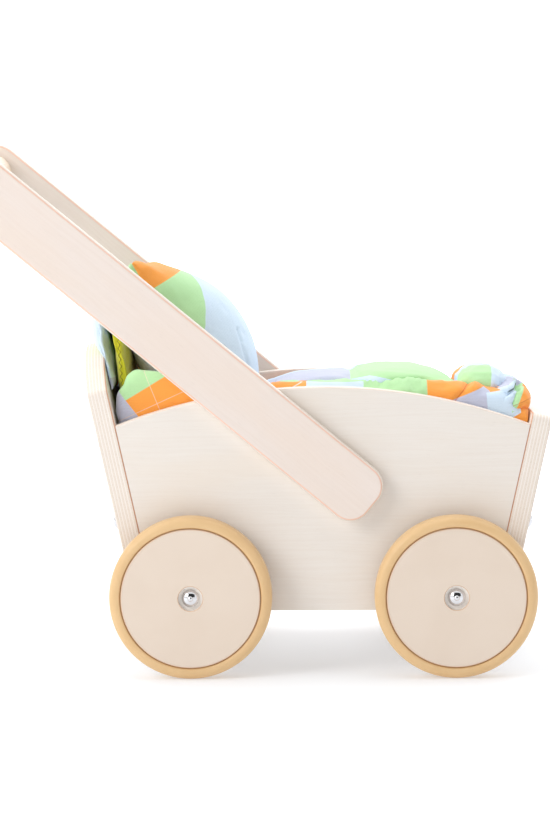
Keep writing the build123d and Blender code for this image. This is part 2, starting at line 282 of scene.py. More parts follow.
def turned_wood(name, middle, axis, face, seed):
    """Solid birch with its growth rings round an axis beside the middle of the stick."""
    f = Finish(name, Roughness=0.45, Coat_Weight=0.15, Coat_Roughness=0.3)
    spot = f.place()
    axis = Vector(axis).normalized()
    aside = axis.cross(Vector((0.31, 0.22, 0.93))).normalized()
    other = axis.cross(aside)
    run = f.along(spot, axis)
    a = f.along(spot, aside) - Vector(middle).dot(aside) + 0.03
    b = f.along(spot, other) - Vector(middle).dot(other) + 0.012
    wobble = f.noise(f.vector(a * 30, b * 30, run * 5 + seed), 1.0, 2.0)
    ring = ((a * a + b * b).power(0.5) * 520 + wobble * 2.2).part()
    late = ring.between(0.55, 0.95) * (1 - ring.between(0.95, 1.0))
    fibre = f.noise(f.vector(a * 900, b * 900, run * 26 + seed), 1.0, 3.0)
    dark = tuple(c * k for c, k in zip(face, (0.9, 0.85, 0.79)))
    colour = f.mix(late * 0.6, face, dark)
    colour = f.mix(fibre.between(0.5, 0.8) * 0.35, colour, dark)
    f.wear(Base_Color=colour, Roughness=0.42 + fibre * 0.1)
    f.bump(fibre * 0.6 + late * 0.3, 0.0001, 0.5)
    return f.material


def wheel_face(name, middle, seed):
    """Beige lacquered board of a wheel: fine orange peel, faint brushed rings, a darker sawn rim."""
    f = Finish(name, Roughness=0.42, Coat_Weight=0.2, Coat_Roughness=0.25)
    spot = f.place()
    x, y, z = f.axes(spot)
    dx = x - middle.x
    dz = z - middle.z
    radius = (dx * dx + dz * dz).power(0.5)
    peel = f.noise(spot, 900.0, 2.0)
    cloud = f.noise(f.vector(dx * 22, y * 8 + seed, dz * 22), 1.0, 3.0)
    turned = f.noise(f.vector(radius * 2600, seed, 0.0), 1.0, 2.0)
    base = srgb(228, 211, 194)
    colour = f.mix(cloud.between(0.35, 0.7) * 0.35, base, srgb(222, 203, 184))
    colour = f.mix(turned.between(0.5, 0.8) * 0.12, colour, srgb(222, 200, 176))
    # painted light: the recess floor round the axle is painted near white, partly its own light colour and
    # partly light that cancels the shade in the recess
    in_recess = 1 - radius.between(10.3 * MM, 10.8 * MM)
    colour = f.mix(in_recess * 0.9, colour, srgb(255, 250, 244))
    mouth = y.size().between(156.2 * MM, 156.7 * MM)
    bare = mouth * radius.between(10.2 * MM, 10.4 * MM) * (
        1 - radius.between(10.9 * MM, 11.3 * MM)
    ) + radius.between(59.1 * MM, 59.7 * MM)
    colour = f.mix(bare.least(1.0) * 0.55, colour, srgb(205, 150, 95))
    # painted shade: the board darkens towards the tyre lip, where shade falls between the two parts
    rim_shade = radius.between(57.0 * MM, 59.4 * MM)
    colour = f.mix(rim_shade * 0.12, colour, srgb(190, 150, 110))
    f.wear(Base_Color=colour, Roughness=0.36 + cloud * 0.12)
    f.bump(peel * 0.5 + turned * 0.3, 0.00008, 0.4)
    return f.material


def tyre_rubber(name, middle, seed):
    """Honey-coloured soft tyre, dusted on its tread, with painted shade in the lip next to the board."""
    f = Finish(name, Roughness=0.55, IOR=1.48, Coat_Weight=0.3, Coat_Roughness=0.3)
    spot = f.place()
    x, y, z = f.axes(spot)
    dx = x - middle.x
    dz = z - middle.z
    radius = (dx * dx + dz * dz).power(0.5)
    speck = f.noise(spot, 1400.0, 2.0)
    cloud = f.noise(f.vector(dx * 40, y * 40 + seed, dz * 40), 1.0, 4.0, 0.6)
    base = srgb(226, 189, 138)
    colour = f.mix(cloud.between(0.35, 0.75) * 0.5, base, srgb(218, 178, 124))
    # painted shade: a dark brown band in the tyre's lip beside the board, where shade falls in the groove
    lip = 1 - radius.between(60.2 * MM, 61.6 * MM)
    colour = f.mix(lip * 0.8, colour, srgb(176, 120, 62))
    tread = radius.between(68.2 * MM, 69.9 * MM)
    dust = f.noise(f.vector(dx * 90, y * 160 + seed, dz * 90), 1.0, 3.0, 0.7).between(0.45, 0.75)
    colour = f.mix(tread * dust * 0.4, colour, srgb(206, 180, 146))
    f.wear(Base_Color=colour, Roughness=0.5 + cloud * 0.12 + tread * 0.15)
    f.bump(speck * 0.5 + cloud * 0.8, 0.0001, 0.5)
    return f.material


def bright_metal(name):
    f = Finish(name, Metallic=1.0, Roughness=0.08)
    f.shader.inputs["Base Color"].default_value = (0.74, 0.74, 0.76, 1.0)
    spot = f.place()
    smear = f.noise(spot, 300.0, 3.0)
    scratch = f.noise(f.vector(*[axis * k for axis, k in zip(f.axes(spot), (300, 4000, 900))]), 1.0, 2.0)
    f.wear(Roughness=0.06 + smear.between(0.4, 0.8) * 0.12 + scratch.between(0.6, 0.8) * 0.08)
    return f.material


def zinc(name):
    f = Finish(name, Metallic=1.0, Roughness=0.35)
    spot = f.place()
    spangle = f.noise(spot, 700.0, 2.0)
    dull = f.noise(spot, 120.0, 3.0)
    f.wear(Base_Color=f.mix(spangle, (0.52, 0.53, 0.55), (0.66, 0.66, 0.65)), Roughness=0.28 + dull * 0.25)
    f.bump(spangle, 0.00005, 0.3)
    return f.material


def nylon(name):
    f = Finish(name, Roughness=0.45, Subsurface_Weight=0.05)
    spot = f.place()
    mottle = f.noise(spot, 250.0, 3.0)
    f.wear(Base_Color=f.mix(mottle, (0.74, 0.72, 0.66), (0.8, 0.78, 0.72)), Roughness=0.4 + mottle * 0.15)
    f.bump(mottle, 0.00005, 0.3)
    return f.material


def dress(node, material):
    mesh = nodes[node].data
    mesh.materials.clear()
    mesh.materials.append(material)


WHITEWASH = srgb(236, 229, 221)
ARM_WASH = srgb(235, 222, 213)
HEART = srgb(242, 234, 225)
for side, way in (("right", -1), ("left", 1)):
    start = half_width - side_thickness
    wall = plywood(
        side + "_wall_birch", (0, way, 0), start, side_thickness, (1, 0, 0), WHITEWASH, HEART, 3.1 + way
    )
    dress(side + "_side_panel", wall)
    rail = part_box(side + "_handle_arm")
    rail_thickness = rail[1].y - rail[0].y
    turn = math.radians(39.5)
    slope = (-math.cos(turn), 0, math.sin(turn))
    dress(
        side + "_handle_arm",
        plywood(
            side + "_arm_birch", (0, way, 0), half_width, rail_thickness, slope, ARM_WASH, HEART, 8.7 + way,
            0.45
        )
    )
for node, way in (("head_end_panel", -1), ("foot_end_panel", 1)):
    out = Vector((way * math.cos(end_tilt), 0, -math.sin(end_tilt)))
    corner = Vector((bed_x + way * bottom_half, 0, bed_bottom))
    dress(
        node,
        plywood(
            node + "_birch", out, out.dot(corner), end_thickness, (0, 1, 0), WHITEWASH, HEART, 15.3 + way,
            0.1, 0.8
        )
    )
floor_low, floor_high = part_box("floor_panel")
dress(
    "floor_panel",
    plywood(
        "floor_birch", (0, 0, 1), floor_low.z, floor_high.z - floor_low.z, (1, 0, 0), WHITEWASH, HEART, 21.0
    )
)
bar_low, bar_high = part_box("handle_bar")
dress("handle_bar", turned_wood("bar_birch", (bar_low + bar_high) / 2, (0, 1, 0), srgb(243, 225, 205), 2.0))
for side in ("right", "left"):
    low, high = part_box(side + "_floor_batten")
    dress(
        side + "_floor_batten",
        turned_wood(side + "_batten_pine", (low + high) / 2, (1, 0, 0), srgb(240, 218, 186), 5.0)
    )
dress("corner_dowels", turned_wood("dowel_beech", (bed_x, 0, 0.1), (1, 0, 0), srgb(232, 205, 170), 9.0))
for end in ("front", "rear"):
    for side in ("right", "left"):
        joint = record_joints[f"{end}_{side}_wheel_spin"]
        middle = Vector(joint["pos_m"])
        seed = middle.x * 31 + middle.y * 17
        dress(f"{end}_{side}_disc", wheel_face(f"{end}_{side}_board", middle, seed))
        dress(f"{end}_{side}_tyre", tyre_rubber(f"{end}_{side}_rubber", middle, seed))
    dress(end + "_axle", zinc(end + "_axle_steel"))
for node in ("arm_screws", "batten_screws", "floor_screws", "barrel_nuts"):
    dress(node, zinc(node + "_zinc"))
for node in ("axle_caps", "corner_bolts"):
    dress(node, bright_metal(node + "_chrome"))
dress("axle_spacers", nylon("spacer_nylon"))


def deselect():
    bpy.ops.object.select_all(action="DESELECT")


# ---------------------------------------------------------------- bedding: shapes


def hand_over(name, mesh_object, material, body):
    mesh_object.name = name
    mesh_object.data.name = name
    mesh_object.data.materials.clear()
    mesh_object.data.materials.append(material)
    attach(mesh_object, body)
    return mesh_object


def pick(obj):
    deselect()
    obj.select_set(True)
    bpy.context.view_layer.objects.active = obj


def face_outwards(obj):
    pick(obj)
    bpy.ops.object.mode_set(mode="EDIT")
    bpy.ops.mesh.select_all(action="SELECT")
    bpy.ops.mesh.normals_make_consistent(inside=False)
    bpy.ops.object.mode_set(mode="OBJECT")


def block(cuts, shape):
    """A finely divided cube whose points go to shape(u, v, w), each value from -1 to 1."""
    deselect()
    bpy.ops.mesh.primitive_cube_add(size=2.0)
    obj = bpy.context.object
    bpy.ops.object.mode_set(mode="EDIT")
    bpy.ops.mesh.select_all(action="SELECT")
    bpy.ops.mesh.subdivide(number_cuts=cuts)
    bpy.ops.object.mode_set(mode="OBJECT")
    for point in obj.data.vertices:
        point.co = shape(*point.co)
    return obj


def apply_modifiers(obj):
    pick(obj)
    for modifier in list(obj.modifiers):
        bpy.ops.object.modifier_apply(modifier=modifier.name)


def remesh(obj, size):
    modifier = obj.modifiers.new("even_mesh", "REMESH")
    modifier.mode = "VOXEL"
    modifier.voxel_size = size
    apply_modifiers(obj)


def stuff(obj, pressure, cap, slack=0.04, frames=18, stiffness=0.4):
    """Blows the closed cloth up a little so that it wrinkles; no point moves further than cap."""
    scene = bpy.context.scene
    start = [point.co.copy() for point in obj.data.vertices]
    cloth = obj.modifiers.new("cotton", "CLOTH")
    cloth.settings.use_pressure = True
    cloth.settings.uniform_pressure_force = pressure
    cloth.settings.effector_weights.gravity = 0
    cloth.settings.quality = 4
    cloth.settings.mass = 0.2
    cloth.settings.shrink_min = -slack
    cloth.settings.tension_stiffness = 12
    cloth.settings.compression_stiffness = 12
    cloth.settings.bending_stiffness = stiffness
    cloth.settings.air_damping = 2
    cloth.point_cache.frame_start = 1
    cloth.point_cache.frame_end = frames
    for number in range(1, frames + 1):
        scene.frame_set(number)
    puffed = obj.evaluated_get(bpy.context.evaluated_depsgraph_get()).data
    moved = [point.co.copy() for point in puffed.vertices]
    obj.modifiers.remove(cloth)
    scene.frame_set(1)
    for point, old, new in zip(obj.data.vertices, start, moved):
        step = new - old
        if step.length > cap:
            step *= cap / step.length
        point.co = old + step


def smooth_finish(obj, levels=1):
    modifier = obj.modifiers.new("fine", "SUBSURF")
    modifier.levels = levels
    modifier.render_levels = levels
    apply_modifiers(obj)
    pick(obj)
    bpy.ops.object.shade_smooth()


def fine_creases(obj, where, seed, depth=0.7 * MM):
    """The small sharp creases of slack cotton, added once the mesh is fine enough to hold them."""
    crumple(obj, (115, 60, 120), depth, where, seed)
    crumple(obj, (48, 110, 60), depth * 0.8, where, seed + 5)


def each_point(obj, change):
    """Moves every point by what change(place, normal) gives."""
    old = [(point.co.copy(), point.normal.copy()) for point in obj.data.vertices]
    for point, (place, normal) in zip(obj.data.vertices, old):
        step = change(place, normal)
        if step is not None:
            point.co = place + step


def clamp(value, low, high):
    return max(low, min(high, value))


def ease(value, low, high):
    t = clamp((value - low) / (high - low), 0.0, 1.0)
    return t * t * (3 - 2 * t)


def profile(pairs):
    """A smooth function through (place, value) pairs in millimetres, giving metres."""

    def height(x):
        x = x / MM
        if x <= pairs[0][0]:
            return pairs[0][1] * MM
        for (x0, z0), (x1, z1) in zip(pairs, pairs[1:]):
            if x <= x1:
                t = (x - x0) / (x1 - x0)
                t = t * t * (3 - 2 * t)
                return (z0 + (z1 - z0) * t) * MM
        return pairs[-1][1] * MM

    return height


def end_wall(z, way):
    """Inner face of an end panel at height z."""
    return bed_x + way * (bottom_half + (z - bed_bottom) * math.tan(end_tilt))


def keep_clear(obj, other, gap=0.8 * MM, reach=9 * MM, rounds=3):
    """Moves the points of obj that lie in or against the piece `other` out to the gap."""
    places = [other.matrix_world @ point.co for point in other.data.vertices]
    tree = BVHTree.FromPolygons(places, [tuple(face.vertices) for face in other.data.polygons])
    for _ in range(rounds):
        for point in obj.data.vertices:
            hit, normal, _face, distance = tree.find_nearest(point.co, reach)
            if hit is None:
                continue
            side = (point.co - hit).dot(normal)
            if side < gap and distance - abs(side) < 0.5 * gap:
                point.co += normal * (gap - side)
            elif 0 < distance < gap and side >= 0:
                point.co = hit + (point.co - hit) * (gap / distance)
    obj.data.update()


HEAD_PANEL_CORNER = 247  # height of the head panel's top at its sides, in millimetres
HEAD_PANEL_ARCH = 36  # how much higher its middle stands
HEAD_PANEL_HALF = 125


def keep_in_bed(obj, side_gap=1.2 * MM, end_gap=1.2 * MM):
    """Holds the points between the panels; above the head panel they may lean over it."""
    inner = half_width - side_thickness - side_gap

    def change(place, normal):
        y = clamp(place.y, -inner, inner)
        arch = HEAD_PANEL_ARCH * (1 - (place.y / (HEAD_PANEL_HALF * MM)) ** 2)
        panel_top = (HEAD_PANEL_CORNER + arch) * MM
        over_panel = 9 * MM * ease(place.z, panel_top + 4 * MM, panel_top + 18 * MM)
        x = clamp(place.x, end_wall(place.z, -1) + end_gap - over_panel, end_wall(place.z, 1) - end_gap)
        return Vector((x, y, place.z)) - place

    each_point(obj, change)


def crumple(obj, scale, depth, where, seed, ridged=True):
    """Adds folds: noise ridges of that scale and depth, weighted by where(place)."""

    def change(place, normal):
        weight = where(place)
        if weight <= 0:
            return None
        spot = Vector((place.x * scale[0] + seed, place.y * scale[1], place.z * scale[2]))
        value = noise.noise(spot)
        value = (0.35 - abs(value)) * 1.6 if ridged else value
        return normal * (value * depth * weight)

    each_point(obj, change)


def groove(obj, distance, width, depth):
    """Pulls the surface in along a seam; distance(place) is how far a point is from it."""

    def change(place, normal):
        away = distance(place) / width
        if away > 3:
            return None
        return normal * (-depth * math.exp(-away * away))

    each_point(obj, change)


# ---------------------------------------------------------------- bedding: cloth

ORANGE = srgb(254, 166, 72)
GREEN = srgb(186, 231, 172)
BLUE = srgb(214, 233, 250)
LILAC = srgb(199, 203, 224)
LIME = srgb(204, 199, 28)
PIPING = srgb(250, 222, 205)


def half_plane(x, z, start, end):
    """Distance to the left of the line from start to end, in metres."""
    along = (Vector(end) - Vector(start)).normalized()
    nx, nz = -along.y, along.x
    offset = (nx * start[0] + nz * start[1]) * MM
    return x * nx + z * nz - offset


def left_of(x, z, start, end):
    """1 to the left of the line from start to end."""
    return half_plane(x, z, start, end).between(-PATCH_EDGE, PATCH_EDGE)


def inside(x, z, corners):
    """1 inside the convex outline whose corners run anticlockwise, in millimetres."""
    mask = None
    for start, end in zip(corners, corners[1:] + corners[:1]):
        edge = left_of(x, z, start, end)
        mask = edge if mask is None else mask * edge
    return mask


def inside_round(x, z, centre, radius):
    dx = x - centre[0] * MM
    dz = z - centre[1] * MM
    return 1 - (dx * dx + dz * dz).power(0.5).between((radius - 0.15) * MM, (radius + 0.15) * MM)


def on_line(x, z, start, end, width=0.7):
    away = half_plane(x, z, start, end).size()
    return 1 - away.between(width * 0.5 * MM, (width * 0.5 + 0.2) * MM)


def scatter(f, x, y, pitch, seed):
    """Large printed triangles in the four cloth colours."""
    u = x / pitch + seed
    v = y / pitch + seed * 0.37
    corner = u.part() > v.part()
    key = (u.whole() * 12.9898 + v.whole() * 78.233 + corner * 37.719).wave() * 437.585
    stops = [(0.0, ORANGE), (0.2, GREEN), (0.48, BLUE), (0.75, LILAC)]
    return f.node("ShaderNodeValToRGB", {"stops": stops}, {"Fac": key.part()}), u, v


def cotton(name, paint, crease=0.5):
    """Printed cotton: paint(f, x, y, z) gives the colour, under a fine weave and a little fuzz."""
    f = Finish(name, Roughness=0.85, Sheen_Weight=0.25, Sheen_Roughness=0.5)
    spot = f.place()
    x, y, z = f.axes(spot)
    colour = paint(f, x, y, z)
    warp = (x * 5200 + z * 2100).wave()
    weft = (y * 5200 + z * 2600).wave()
    weave = warp * 0.5 + weft * 0.5
    slub = f.noise(f.vector(x * 90, y * 900, z * 400), 1.0, 3.0)
    mottle = f.noise(spot, 60.0, 4.0, 0.6)
    rub = f.noise(spot, 26.0, 3.0)
    shade = 0.955 + mottle * 0.06 + slub * 0.03
    wrinkle = f.noise(f.vector(x * 70 + rub * 2, y * 55, z * 95), 1.0, 4.0, 0.55)
    fine = (wrinkle - 0.5).size()
    f.wear(Base_Color=f.tint(colour, shade), Roughness=0.8 + slub * 0.12)
    f.bump(weave * 0.05 + slub * 0.05 + fine * (-1.6 * crease), 0.0022, 0.55)
    return f.material


def ramp_switch(f):
    for node in f.tree.nodes:
        if node.type == "VALTORGB":
            node.color_ramp.interpolation = "CONSTANT"


# the pillow is described in its own plan: a runs down from its top seam, n stands out from its seam plane
pillow_low, pillow_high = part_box("pillow")
LEAN = math.radians(30.2)
DOWN = Vector((math.sin(LEAN), 0, -math.cos(LEAN)))
OUT = Vector((math.cos(LEAN), 0, math.sin(LEAN)))
PILLOW_LENGTH = 194.5 * MM
PILLOW_HALF = (pillow_high.y - pillow_low.y) / 2
pillow_mid = Vector((bed_x - 118.6 * MM, 0, bed_bottom + 219 * MM))
pillow_top = pillow_mid - DOWN * PILLOW_LENGTH / 2


def pillow_paint(f, x, y, z):
    a = (x - pillow_top.x) * DOWN.x + (z - pillow_top.z) * DOWN.z
    n = (x - pillow_top.x) * OUT.x + (z - pillow_top.z) * OUT.z
    colour = f.mix(inside_round(y, a, (5, 116), 86), GREEN, BLUE)
    strip = left_of(y, a, (0, 30), (-40, 31))
    colour = f.mix(strip, colour, ORANGE)
    colour = f.mix(inside(y, a, [(22, 34), (22, -40), (140, -40), (140, 62)][::-1]), colour, LILAC)
    colour = f.mix(inside(y, a, [(30, 250), (30, 176), (120, 120), (120, 250)][::-1]), colour, ORANGE)
    colour = f.mix(inside(y, a, [(-120, 250), (-120, 150), (-20, 186), (-20, 250)][::-1]), colour, LILAC)
    # painted light: the lilac on the pillow's back is 12% brighter than the printed lilac, lifting the
    # shade it lies in
    back = f.mix(a > 0.058, GREEN, tuple(c * 1.12 for c in LILAC))
    back = f.mix((a + n * 1.1) > 0.062, back, BLUE)
    back = f.mix(inside_round(y, a, (40, 120), 42), back, ORANGE)
    behind = 1 - n.between(-0.0004, 0.0004)
    return f.mix(behind, colour, back)


def pillow_shape(u, v, w):
    across = u * (1 - 0.055 * (1 - abs(v) ** 2.2))
    wide = v * (1 - 0.06 * (1 - abs(u) ** 2.2))
    plump = (1 - u * u) ** 0.8 * (1 - abs(v) ** 3.4) ** 0.62
    thick = (51.5 * MM if w > 0 else 43 * MM) * plump
    rim = 1.6 * MM
    far_corner = ease(v, -0.7, 1.0) * ease(-u, 0.2, 1.0) * 0.13
    place = pillow_mid + DOWN * (
        (across + far_corner) * PILLOW_LENGTH / 2 * 0.975
    ) + Vector((0, wide * PILLOW_HALF, 0))
    return place + OUT * (w * (thick + rim))


pillow = block(26, pillow_shape)
remesh(pillow, 4.2 * MM)
stuff(pillow, 3.0, 2.6 * MM, 0.03)


def pillow_seam(place):
    away = place - pillow_mid
    return abs(away.dot(OUT))


def near_rim(place):
    away = place - pillow_mid
    u = abs(away.dot(DOWN)) / (PILLOW_LENGTH / 2)
    v = abs(away.y) / PILLOW_HALF
    return ease(max(u, v), 0.72, 0.95)


crumple(pillow, (26, 26, 26), 2.2 * MM, lambda p: 0.25 + near_rim(p), 3.0)
crumple(pillow, (70, 70, 70), 0.9 * MM, near_rim, 11.0)
smooth_finish(pillow)
groove(pillow, lambda p: pillow_seam(p) + (0 if near_rim(p) > 0.3 else 1), 1.3 * MM, 1.2 * MM)
groove(
    pillow,
    lambda p: abs((p.x + 0.0025) - (0.279 - p.z) * 0.29) + (
        0 if -0.075 < p.y < -0.02 and 0.262 < p.z < 0.296 else 1
    ),
    1.3 * MM,
    2.0 * MM
)
groove(
    pillow,
    lambda p: abs((p.x + 0.016) - (0.272 - p.z) * 0.4) + (
        0 if -0.083 < p.y < -0.05 and 0.252 < p.z < 0.282 else 1
    ),
    1.3 * MM,
    1.6 * MM
)
fine_creases(pillow, lambda p: 0.1 + near_rim(p) ** 2, 81.0, 0.6 * MM)
hand_over("pillow_cover", pillow, cotton("pillow_print", pillow_paint), "pillow_body")
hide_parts("pillow")

# ---------------------------------------------------------------- mattress and its turned-up end


def lime_paint(f, x, y, z):
    fade = f.noise(f.vector(x * 30, y * 30, z * 30), 1.0, 3.0)
    return f.mix(fade, LIME, tuple(c * 0.86 for c in LIME))


pad_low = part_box("mattress")[0]
PAD_TOP = 129.5 * MM


def pad_shape(u, v, w):
    z = pad_low.z + (w + 1) / 2 * (PAD_TOP - pad_low.z - 3 * MM) + 1 * MM
    edge = max(abs(u), abs(v))
    z += (ease(1 - edge, 0, 0.25) * 3 - 1.5) * MM * w
    left = end_wall(z, -1) + 3 * MM
    right = end_wall(z, 1) - 6 * MM
    tuck = 1 - 0.012 * w * w
    x = (left + right) / 2 + (right - left) / 2 * u * tuck
    return Vector((x, v * tuck * 104 * MM, z))


pad = block(22, pad_shape)
remesh(pad, 5 * MM)
stuff(pad, 2.5, 4 * MM, 0.02, 14)
for seam_z in (pad_low.z + 8 * MM, PAD_TOP - 8 * MM):
    groove(
        pad,
        lambda p: abs(p.z - seam_z) + (
            1 if p.y ** 2 < (95 * MM) ** 2 and abs(p.x - bed_x) < 130 * MM else 0
        ),
        1.6 * MM,
        1.1 * MM
    )
crumple(pad, (30, 30, 30), 1.2 * MM, lambda p: 1.0, 21.0)
keep_in_bed(pad)
each_point(pad, lambda p, n: Vector((0, 0, clamp(p.z, pad_low.z + 0.4 * MM, PAD_TOP - 0.2 * MM) - p.z)))
smooth_finish(pad)
hand_over("mattress_pad", pad, cotton("lime_cotton", lime_paint, 0.4), "mattress_body")
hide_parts("mattress")

# centre line of the turned-up end, from the pad up, over and down again, with its thickness
LINER_LINE = [
    ((-72, 132), 9), ((-83, 160), 12), ((-93, 195), 12), ((-102, 225), 11), ((-108.5, 252), 11), (
        (-110.5, 280), 12.5
    ),
    ((-111, 300), 12), ((-116, 311), 11), ((-123, 314), 11), (
        (-129.5, 305), 13
    ), ((-128.5, 288), 13), ((-122.5, 266), 11),
    ((-117.6, 252), 8.5), ((-115.8, 243), 5),
]
LINER_HALF = 88 * MM


def smooth_line(points, count):
    """Evenly spread places along a Catmull-Rom line through (place, thickness) points."""
    made = []
    spans = len(points) - 1
    for i in range(count):
        t = i / (count - 1) * spans
        k = min(int(t), spans - 1)
        t -= k
        sets = [points[clamp(k + j, 0, spans)] for j in (-1, 0, 1, 2)]
        values = [(*place, thick) for place, thick in sets]
        p0, p1, p2, p3 = (Vector(value) for value in values)
        made.append(
            0.5 * (
                2 * p1 + (p2 - p0) * t + (
                    2 * p0 - 5 * p1 + 4 * p2 - p3
                ) * t * t + (3 * p1 - p0 - 3 * p2 + p3) * t**3
            )
        )
    return made


def ribbon(line, half, ring, waviness, seed):
    """A closed padded strip swept along a line in the x-z plane, its width along y."""
    mesh = bpy.data.meshes.new("ribbon")
    count = len(line)
    points = []
    for i, spot in enumerate(line):
        ahead = line[min(i + 1, count - 1)] - line[max(i - 1, 0)]
        tangent = Vector((ahead.x, 0, ahead.y)).normalized()
        normal = Vector((tangent.z, 0, -tangent.x))
        taper = (1 - (2 * i / (count - 1) - 1) ** 12) ** 0.5 if 0 < i < count - 1 else 0.02
        for k in range(ring):
            angle = 2 * math.pi * k / ring
            c, s = math.cos(angle), math.sin(angle)
            y = half * math.copysign(abs(c) ** 0.22, c) if abs(c) > 1e-9 else 0.0
            lift = math.copysign(abs(s) ** 0.75, s) * spot.z * MM / 2 * taper
            wave = noise.noise(Vector((i * 0.09, y * 28, seed))) * waviness
            narrow = 1 - 0.03 * noise.noise(Vector((i * 0.12, seed, math.copysign(3, c))))
            points.append(Vector((spot.x * MM, y * narrow, spot.y * MM)) + normal * (lift + wave))
    faces = []
    for i in range(count - 1):
        for k in range(ring):
            n = (k + 1) % ring
            faces.append((i * ring + k, i * ring + n, (i + 1) * ring + n, (i + 1) * ring + k))
    faces.append(tuple(range(ring)))
    faces.append(tuple(reversed(range((count - 1) * ring, count * ring))))
    mesh.from_pydata(points, [], faces)
    obj = bpy.data.objects.new("ribbon", mesh)
    bpy.context.scene.collection.objects.link(obj)
    face_outwards(obj)
    return obj


def liner_paint(f, x, y, z):
    lime = lime_paint(f, x, y, z)
    # the flap that hangs behind shows the print; its lower hem is lilac
    lean = x + (z - 0.25) * 0.09
    flap = 1 - lean.between(-0.1136, -0.1132)
    top = z.between(0.3075, 0.3080)
    flap = flap.most(top * (1 - x.between(-0.1135, -0.113)))
    flap = flap * z.between(0.2405, 0.241)
    print_colour = f.mix(z.between(0.2548, 0.2552), LILAC, BLUE)
    patch = scatter(f, y, z, 0.088, 0.4)[0]
    ramp_switch(f)
    inner = 1 - y.size().between(0.0655, 0.066)
    print_colour = f.mix(inner, print_colour, patch)
    # painted shade: a darker lime zigzag line along the puckered seam at the liner's edges
    centre = -0.1105 - (z - 0.28) * 0.07
    zigzag = (z * (2 * math.pi / 0.0062)).wave() * 0.0008
    seam_pucker = 1 - (x - centre + zigzag).size().between(0.0003, 0.0007)
    seam_pucker = seam_pucker * y.size().between(0.078, 0.079) * (1 - z.between(0.298, 0.300))
    lime = f.mix(seam_pucker * 0.75, lime, srgb(104, 98, 14))
    return f.mix(flap, lime, print_colour)


liner = ribbon(smooth_line(LINER_LINE, 96), LINER_HALF - 2 * MM, 72, 1.5 * MM, 4.2)
stuff(liner, 1.5, 2.2 * MM, 0.05, 12)
liner_edge = LINER_HALF - 5 * MM
LINER_EDGE_LIMIT = 87.4 * MM
CORNER_INNER_FACE = 89.2 * MM


def liner_pucker(place, normal):
    if abs(place.y) < liner_edge - 3 * MM or place.z < 0.24:
        return None
    on_edge = math.exp(-((normal.x / 0.35) ** 2))
    seam_pucker = 0.5 + 0.5 * math.sin(place.z * 2 * math.pi / 0.0062)
    return Vector((0, -math.copysign(1, place.y), 0)) * (on_edge * (0.9 + 1.4 * seam_pucker) * MM)


each_point(liner, liner_pucker)
crumple(liner, (20, 40, 40), 1.3 * MM, lambda p: 1.0, 9.0)
keep_in_bed(liner)
smooth_finish(liner)
keep_clear(liner, pillow)
keep_clear(liner, nodes["head_end_panel"], 0.5 * MM)


def narrow_liner(place, _normal):
    """Holds the liner inside the two quilt corners that stand beside it."""
    past = max(abs(place.y) - LINER_EDGE_LIMIT, 0)
    return Vector((0, -math.copysign(past, place.y), 0))


each_point(liner, narrow_liner)
hand_over("mattress_turned_up_end", liner, cotton("liner_cotton", liner_paint, 0.7), "mattress_body")

# ---------------------------------------------------------------- quilt

QUILT_FLOOR = 131 * MM


def far_side_lower(z, y):
    """The quilt lies a little lower towards the left side of the bed."""
    return z - 0.05 * (y + 100 * MM)


lower_top = profile(
    [
        (-80, 222), (-60, 208), (-30, 190), (2, 184), (13, 248), (40, 251), (90, 251.5), (120, 251),
        (160, 251), (185, 251), (203, 248), (220, 243.5), (232, 232), (252, 222)
    ]
)


def lower_paint(f, x, y, z):
    """The near and far sides show bands of the print between the side panel and the upper layer."""
    colour = scatter(f, x, y, 0.085, 0.2)[0]
    ramp_switch(f)
    side = f.mix(x.between(0.0527, 0.0530), ORANGE, BLUE)
    side = f.mix(x.between(0.1025, 0.1028) * 1.0, side, GREEN)
    step = left_of(x, z, (159, 200), (157.5, 260))
    side = f.mix(1 - step, side, ORANGE)
    side = f.mix(inside(x, z, [(180, 236), (214, 215), (212, 243.5), (207, 247)]), side, LILAC)
    side = f.mix(inside(x, z, [(209, 242), (212, 205), (240, 205), (238, 246)]), side, BLUE)
    side = f.mix(inside(x, z, [(220, 200), (262, 200), (262, 234), (247, 229), (228, 218.5)]), side, ORANGE)
    side = f.mix(z.between(0.2515, 0.2518) * (1 - x.between(0.1025, 0.1028)), side, GREEN)
    # painted shade: a darker orange line along the crease in the orange flap
    side = f.mix(
        on_line(x, z, (195, 251), (180, 233), 0.9) * 0.55 * z.between(0.228, 0.232), side, srgb(214, 96, 34)
    )
    side = f.mix(on_line(x, z, (32, 243), (54, 254)), side, PIPING)
    return f.mix(y.size().between(0.0795, 0.08), colour, side)


def lower_shape(u, v, w):
    inner = half_width - side_thickness - 2 * MM
    span = (w + 1) / 2
    rough = QUILT_FLOOR + span * (250 * MM - QUILT_FLOOR)
    left = bed_x - (bottom_half + (rough - bed_bottom) * math.tan(end_tilt)) + 31 * MM
    right = end_wall(rough, 1) - 3 * MM
    x = (left + right) / 2 + (right - left) / 2 * u
    y = v * inner
    top = lower_top(x)
    edge = abs(v)
    top -= 5 * MM * ease(edge, 0.9, 1.0) ** 1.5 + 5 * MM * (
        1 - ease(edge, 0.76, 0.88)
    ) * ease(x, 0, 20 * MM)
    top = far_side_lower(top, y)
    z = QUILT_FLOOR + span * (top - QUILT_FLOOR)
    y *= 1 - 0.035 * ease(span, 0.9, 1.0)
    return Vector((x, y, z))


